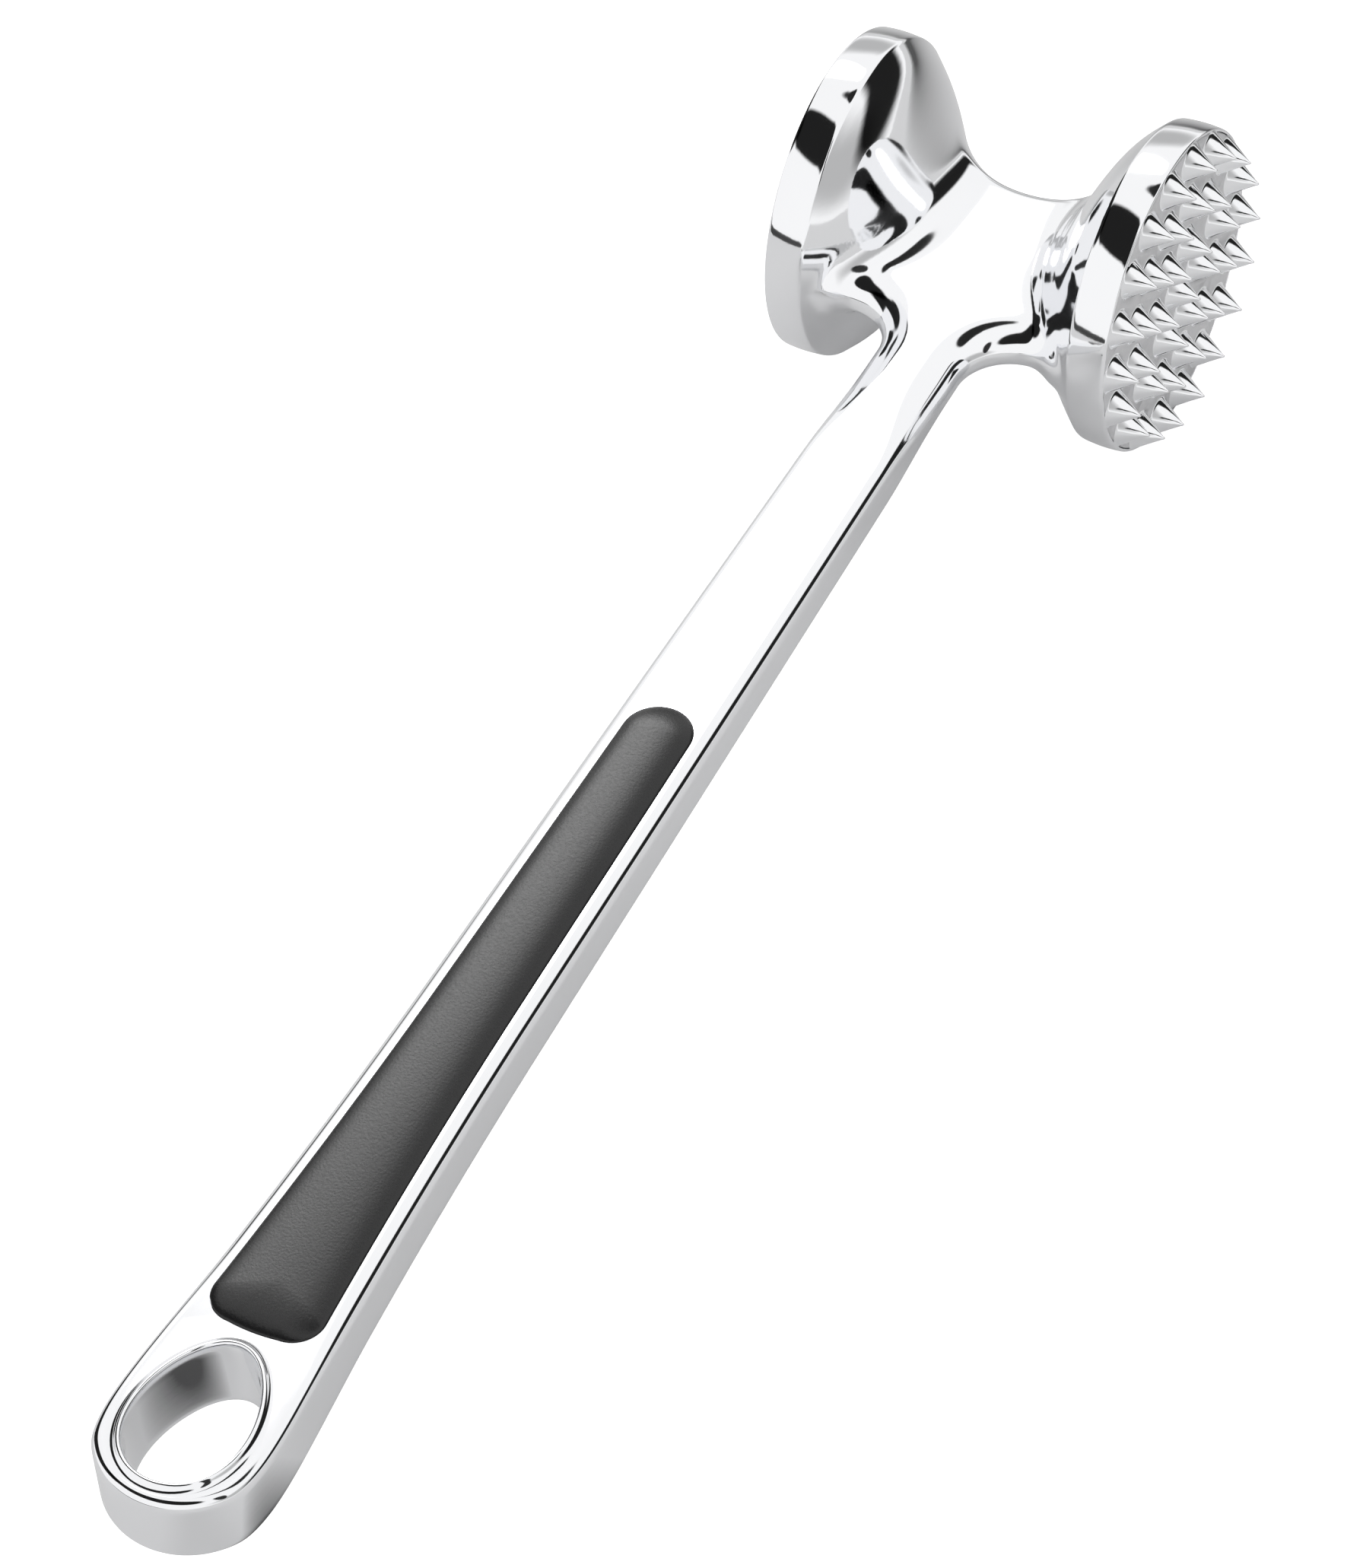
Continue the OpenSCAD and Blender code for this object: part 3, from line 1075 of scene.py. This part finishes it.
@dataclass
class GripInlay:
    """A crowned soft inlay in its pocket."""

    plan: GripPlan
    side: Side
    mid_x: float = 29.75
    crown: float = 1.3
    clearance: float = 0.05
    rolled: float = 0.45
    rings: Sequence[float] = (
        0.998, 0.99, 0.975, 0.95, 0.915, 0.87, 0.81, 0.73, 0.63, 0.51, 0.38, 0.25, 0.12,
    )  # fmt: skip

    def rise(self, share: float) -> float:
        """Height above the handle's face at a share of the way from the middle to the edge."""
        edge, bow = math.sqrt(max(0, 1 - share**5)), 1 - share**2
        return self.crown * (self.rolled * edge + (1 - self.rolled) * bow) - 0.02

    def build(self) -> bpy.types.Object:
        """Builds the inlay: its foot, wall, rolled edge and crown."""
        outline = self.plan.outline()
        near = self.plan.start_y - self.plan.near_r
        far = self.plan.end_y + 9.0
        z = self.side.value
        mesh = bmesh.new()
        spine = [min(max(y, far), near) for _, y in outline]

        def places(share: float, height: float) -> list:
            """One ring of points, scaled towards the inlay's middle line."""
            made = []
            for (x, y), c in zip(outline, spine):
                px, py = x * share, c + (y - c) * share
                top = float(self.plan.handle.half_thick(py))
                made.append((self.mid_x + px, py, z * (top + height)))
            return made

        trim = 1 - self.clearance / self.plan.near_r
        depth = 0.05 - self.plan.depth
        ring = [mesh.verts.new(Vector(p) * MM) for p in places(trim, depth)]
        foot = mesh.faces.new(ring)
        steps = [(trim, -0.3), (trim, self.rise(1.0))]
        steps += [(s * trim, self.rise(s)) for s in self.rings]
        for share, height in [*steps, (0, self.rise(0))]:
            ring = next_ring(mesh, ring, places(share, height))
        bmesh.ops.triangulate(mesh, faces=[foot])
        bmesh.ops.remove_doubles(mesh, verts=mesh.verts, dist=0.003 * MM)
        bmesh.ops.dissolve_degenerate(mesh, edges=mesh.edges, dist=0.002 * MM)
        bmesh.ops.recalc_face_normals(mesh, faces=mesh.faces)
        name = f"{self.side.name.lower()}_grip_soft"
        data = bpy.data.meshes.new(name)
        mesh.to_mesh(data)
        mesh.free()
        obj = bpy.data.objects.new(name, data)
        bpy.context.scene.collection.objects.link(obj)
        apply_modifier(obj, "SUBSURF", levels=1, render_levels=1)
        smooth_shading(obj, 60)
        return obj


# ---------------------------------------------------------------- finishes


@dataclass
class Nodes:
    """A small helper that adds nodes to a material and joins them."""

    material: bpy.types.Material | bpy.types.World

    def add(self, kind: str, **values: object) -> bpy.types.Node:
        """Adds a node.

        Args:
            kind: The node's type.
            **values: Properties of the node, or values of its inputs where the name has a capital.

        Returns:
            The node.
        """
        node = self.material.node_tree.nodes.new(kind)
        for name, value in values.items():
            label = name.replace("_", " ")
            if label in node.inputs and name[0].isupper():
                node.inputs[label].default_value = value
            else:
                setattr(node, name, value)
        return node

    def join(self, a: bpy.types.NodeSocket, b: bpy.types.NodeSocket) -> None:
        """Joins an output to an input."""
        self.material.node_tree.links.new(a, b)

    def compute(self, operation: str, *inputs: object) -> bpy.types.NodeSocket:
        """The result of a Math node on numbers or outputs."""
        node = self.add("ShaderNodeMath", operation=operation)
        for value, socket in zip(inputs, node.inputs):
            if isinstance(value, bpy.types.NodeSocket):
                self.join(value, socket)
            else:
                socket.default_value = value
        return node.outputs[0]

    def measure(
        self, operation: str, where: bpy.types.NodeSocket, to: Sequence[float]
    ) -> bpy.types.NodeSocket:
        """The single value of a Vector Math node on an output and a fixed vector."""
        node = self.add("ShaderNodeVectorMath", operation=operation)
        node.inputs[1].default_value = to
        self.join(where, node.inputs[0])
        return node.outputs["Value"]

    def noise(
        self, scale: Sequence[float], size: float, detail: float = 3.0
    ) -> bpy.types.NodeSocket:
        """A noise pattern's value on scaled Object coordinates."""
        where = self.add("ShaderNodeTexCoord")
        mapping = self.add("ShaderNodeMapping", Scale=tuple(scale))
        node = self.add("ShaderNodeTexNoise", Scale=size, Detail=detail)
        self.join(where.outputs["Object"], mapping.inputs["Vector"])
        self.join(mapping.outputs["Vector"], node.inputs["Vector"])
        return node.outputs["Fac"]

    def ranged(
        self, value: bpy.types.NodeSocket, ends: Point2, to: Point2, curve: str = "LINEAR"
    ) -> bpy.types.NodeSocket:
        """Carries a value from one range to another."""
        node = self.add(
            "ShaderNodeMapRange", interpolation_type=curve,
            From_Min=ends[0], From_Max=ends[1], To_Min=to[0], To_Max=to[1],
        )  # fmt: skip
        self.join(value, node.inputs["Value"])
        return node.outputs["Result"]

    def tone(self, shader: bpy.types.Node, colours: Sequence, stops: Point2, size: float) -> None:
        """Varies the shader's colour between two colours with a noise."""
        ramp = self.add("ShaderNodeValToRGB")
        for element, colour, stop in zip(ramp.color_ramp.elements, colours, stops):
            element.position, element.color = stop, colour
        self.join(self.noise((1, 1, 1), size), ramp.inputs["Fac"])
        self.join(ramp.outputs["Color"], shader.inputs["Base Color"])

    def haze(self, shader: bpy.types.Node, size: float, ends: Point2, to: Point2) -> None:
        """Varies the shader's roughness with a noise."""
        self.join(self.ranged(self.noise((1, 1, 1), size), ends, to), shader.inputs["Roughness"])

    def grain(
        self, shader: bpy.types.Node, height: bpy.types.NodeSocket, strength: float, depth: float
    ) -> None:
        """Raises a pattern as a bump on the shader's normal."""
        bump = self.add("ShaderNodeBump", Strength=strength, Distance=depth)
        self.join(height, bump.inputs["Height"])
        self.join(bump.outputs["Normal"], shader.inputs["Normal"])


def new_material(name: str) -> tuple[bpy.types.Material, Nodes, bpy.types.Node]:
    """A material with an empty Principled shader.

    Args:
        name: The material's name.

    Returns:
        The material, its node helper and its shader.
    """
    material = bpy.data.materials.new(name)
    material.use_nodes = True
    return material, Nodes(material), material.node_tree.nodes["Principled BSDF"]


def shade(colour: Sequence[float], share: float) -> list[float]:
    """A colour made darker by a share, and opaque."""
    return [c * share for c in colour[:3]] + [1]


@dataclass(frozen=True)
class MirrorChrome:
    """Mirror chrome with faint wipe marks and a breath of haze."""

    name: str
    tint: Sequence[float] = (0.93, 0.935, 0.95, 1)
    haze: Point2 = (0.035, 0.075)
    wipe: float = 0.004

    def material(self) -> bpy.types.Material:
        """Builds the material."""
        material, n, shader = new_material(self.name)
        shader.inputs["Metallic"].default_value = 1.0
        n.tone(shader, (shade(self.tint, 0.97), self.tint), (0.3, 0.75), 18.0)
        n.haze(shader, 60.0, (0.35, 0.7), self.haze)
        n.grain(shader, n.noise((900, 70, 900), 1.0, 2.0), self.wipe, 0.001)
        return material


@dataclass(frozen=True)
class SatinSteel:
    """Blasted steel: bright, with a fine even grain."""

    name: str = "satin_ground_steel"
    tint: Sequence[float] = (0.72, 0.72, 0.73, 1)

    def material(self) -> bpy.types.Material:
        """Builds the material."""
        material, n, shader = new_material(self.name)
        shader.inputs["Metallic"].default_value = 0.85
        n.tone(shader, (shade(self.tint, 0.9), self.tint), (0.0, 1.0), 700.0)
        n.haze(shader, 1500.0, (0.3, 0.7), (0.34, 0.46))
        n.grain(shader, n.noise((1, 1, 1), 2600.0, 4.0), 0.12, 0.0002)
        return material


@dataclass(frozen=True)
class SoftTouch:
    """Black soft-touch rubber with a broad low sheen and a fine moulded grain."""

    name: str = "soft_touch_black"
    dark: Sequence[float] = (0.006, 0.006, 0.0063, 1)
    light: Sequence[float] = (0.011, 0.011, 0.0114, 1)

    def material(self) -> bpy.types.Material:
        """Builds the material."""
        material, n, shader = new_material(self.name)
        shader.inputs["Specular IOR Level"].default_value = 0.5
        shader.inputs["Sheen Weight"].default_value = 0.04
        n.tone(shader, (self.dark, self.light), (0.0, 1.0), 240.0)
        n.haze(shader, 1800.0, (0.3, 0.7), (0.23, 0.29))
        n.grain(shader, n.noise((1, 1, 1), 2400.0, 4.0), 0.1, 0.0002)
        return material


# ---------------------------------------------------------------- studio


@dataclass(frozen=True)
class Card:
    """A soft-edged black flag or softbox in the light all round.

    Directions are in degrees: turn counts from +Y towards +X, and rise from the floor.
    A gain of −1 is black, and above 0 is brighter than the rest.
    """

    turn: float
    rise: float
    half_wide: float
    half_high: float
    gain: float
    tilt: float = 0.0
    edge: float = 0.12

    def strength_at(self, n: "Nodes", where: bpy.types.NodeSocket) -> bpy.types.NodeSocket:
        """The card's gain in a direction.

        Args:
            n: The world's node helper.
            where: The direction.

        Returns:
            The gain inside the card, falling to 0 at its edge.
        """
        frame = Matrix.Rotation(math.radians(90 - self.turn), 3, "Z")
        frame = frame @ Matrix.Rotation(-math.radians(self.rise), 3, "Y")
        frame = frame @ Matrix.Rotation(math.radians(self.tilt), 3, "X")
        powers = []
        for axis, half in ((1, self.half_wide), (2, self.half_high)):
            side = n.measure("DOT_PRODUCT", where, frame.col[axis] / math.sin(math.radians(half)))
            powers.append(n.compute("MULTIPLY", side, side))
        ends = ((1 - self.edge) ** 2, (1 + self.edge) ** 2)
        fade = n.ranged(n.compute("ADD", *powers), ends, (self.gain, 0.0), "SMOOTHSTEP")
        ahead = n.compute("GREATER_THAN", n.measure("DOT_PRODUCT", where, frame.col[0]), 0.0)
        return n.compute("MULTIPLY", fade, ahead)


SHEEN_BOX = Card(-35, 41, 14, 6, 5.5, tilt=-42, edge=0.5)
OVERHEAD_FLAG = Card(-145, 69, 38, 15, -0.985, tilt=10, edge=0.08)
FAR_BAND_FLAG = Card(46, 14, 36, 12, -0.985, edge=0.2)
RIGHT_GREY = Card(95, 18, 26, 12, -0.5, edge=0.6)
TOP_STRIP_FLAG = Card(10, 69, 17, 6, -0.98, tilt=10)
LEFT_TALL_FLAG = Card(-80, 25, 16, 36, -0.985, tilt=-36, edge=0.1)
RIGHT_THIN_FLAG = Card(116, 42, 5, 22, -0.97)
FAR_GREY = Card(-21, 14, 12, 9, -0.5, edge=0.6)
HORIZON_FLAG = Card(-155, 1.5, 30, 2.4, -0.95)
CARDS = (
    SHEEN_BOX, OVERHEAD_FLAG, FAR_BAND_FLAG, RIGHT_GREY, TOP_STRIP_FLAG,
    LEFT_TALL_FLAG, RIGHT_THIN_FLAG, FAR_GREY, HORIZON_FLAG,
)  # fmt: skip


@dataclass
class Studio:
    """The pale floor, the soft light all round, and the camera.

    Each patch is a darker round on the floor, seen in reflections only: its x, y and radius. The
    patches are painted shade in the chrome's reflections; the small one by the handle's end darkens
    the hanging hole's wall.
    """

    floor_z: float = -27.0
    camera_at: Sequence[float] = (0.40795, -0.7418, 0.8185)
    camera_right: Sequence[float] = (0.8878, 0.4563, -0.0601)
    camera_up: Sequence[float] = (-0.3085, 0.6869, 0.658)
    lens: float = 166.33
    floor_lift: float = 0.8
    floor_seen: float = 0.85
    shade_patch_dark: float = 0.12
    reflected_shade_patches: Sequence[Point3] = ((60.0, 340.0, 300.0), (48.0, -258.0, 17.0))

    def camera(self) -> None:
        """Places the camera."""
        data = bpy.data.cameras.new("camera")
        data.lens, data.sensor_width, data.clip_end = self.lens, 36.0, 20.0
        camera = bpy.data.objects.new("camera", data)
        bpy.context.scene.collection.objects.link(camera)
        right = Vector(self.camera_right).normalized()
        up = Vector(self.camera_up)
        up = (up - right * up.dot(right)).normalized()
        turn = Matrix((right, up, right.cross(up))).transposed()
        camera.matrix_world = Matrix.Translation(self.camera_at) @ turn.to_4x4()
        bpy.context.scene.camera = camera

    def floor(self) -> None:
        """Lays the pale floor under the discs. It reflects a little darker than it looks, and its
        darker patches are painted shade in the chrome's reflections.
        """
        deselect_all()
        bpy.ops.mesh.primitive_grid_add(
            size=8.0, x_subdivisions=4, y_subdivisions=4, location=(0, 0, self.floor_z * MM)
        )
        bpy.ops.object.transform_apply(location=True)
        floor = bpy.context.active_object
        floor.name = "floor"
        material, n, shader = new_material("pale_floor")
        shader.inputs["Base Color"].default_value = (0.9, 0.9, 0.9, 1)
        shader.inputs["Roughness"].default_value = 0.9
        shader.inputs["Specular IOR Level"].default_value = 0.0
        shader.inputs["Emission Color"].default_value = (1, 1, 1, 1)
        shader.inputs["Emission Strength"].default_value = self.floor_lift
        dim = n.add("ShaderNodeBsdfDiffuse")
        place = n.add("ShaderNodeTexCoord").outputs["Object"]
        shade_patch_tones = []
        # Painted shade: darker rounds that only reflections see, so the chrome shows them as shade.
        for x, y, reach in self.reflected_shade_patches:
            away = n.measure("DISTANCE", place, (x * MM, y * MM, self.floor_z * MM))
            ends, to = (0.25 * reach * MM, reach * MM), (self.shade_patch_dark, self.floor_seen)
            shade_patch_tones.append(n.ranged(away, ends, to))
        n.join(n.compute("MINIMUM", *shade_patch_tones), dim.inputs["Color"])
        rays, mix = n.add("ShaderNodeLightPath"), n.add("ShaderNodeMixShader")
        n.join(rays.outputs["Is Camera Ray"], mix.inputs["Fac"])
        n.join(dim.outputs["BSDF"], mix.inputs[1])
        n.join(shader.outputs["BSDF"], mix.inputs[2])
        n.join(mix.outputs["Shader"], material.node_tree.nodes["Material Output"].inputs["Surface"])
        floor.data.materials.append(material)

    def light(self) -> None:
        """Sets the soft light all round, with its flags and softboxes."""
        world = bpy.data.worlds.new("studio")
        bpy.context.scene.world = world
        world.use_nodes = True
        n = Nodes(world)
        where = n.add("ShaderNodeTexCoord").outputs["Generated"]
        level = n.compute("ADD", CARDS[0].strength_at(n, where), 1.0)
        for card in CARDS[1:]:
            level = n.compute("MULTIPLY_ADD", level, card.strength_at(n, where), level)
        rays, mix = n.add("ShaderNodeLightPath"), n.add("ShaderNodeMix", data_type="FLOAT")
        n.join(rays.outputs["Is Camera Ray"], mix.inputs["Factor"])
        n.join(level, mix.inputs["A"])
        mix.inputs["B"].default_value = 1.1
        glow = world.node_tree.nodes["Background"]
        glow.inputs["Color"].default_value = (1, 1, 1, 1)
        n.join(mix.outputs["Result"], glow.inputs["Strength"])

    def build(self) -> None:
        """Builds the studio."""
        self.camera()
        self.floor()
        self.light()
        bpy.context.scene.view_settings.view_transform = "Standard"


# ---------------------------------------------------------------- the whole mallet


def fit(obj: bpy.types.Object, node: str) -> None:
    """Puts a finished piece on the frame in place of its CAD node and reports it."""
    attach(obj, ROOT_BODY)
    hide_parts(node)
    LOG.info("%s: %d faces, in place of %s", obj.name, len(obj.data.polygons), node)


def main() -> None:
    """Builds the mallet, its finishes and the studio."""
    logging.basicConfig(level=logging.INFO, format="%(message)s")
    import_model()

    chrome = MirrorChrome("body_chrome").material()
    spikes = MirrorChrome("spike_polish", haze=(0.05, 0.09)).material()
    face = MirrorChrome("face_chrome", haze=(0.05, 0.16), wipe=0.01).material()
    ground = SatinSteel().material()
    rubber = SoftTouch().material()

    casting = MalletBody()
    body = casting.build()
    body.data.materials.append(chrome)
    fit(body, "mallet_body")

    spiked = SpikedPlate(casting.plan.mid_x * 2)
    plate = spiked.build()
    spiked.dress(plate, ground, spikes)
    fit(plate, "spiked_plate")

    smooth = SmoothPlate().build()
    smooth.data.materials.append(face)
    fit(smooth, "smooth_plate")

    for side in Side:
        grip = GripInlay(casting.grip, side).build()
        grip.data.materials.append(rubber)
        fit(grip, f"{side.name.lower()}_grip")

    Studio().build()


if __name__ == "__main__":
    main()
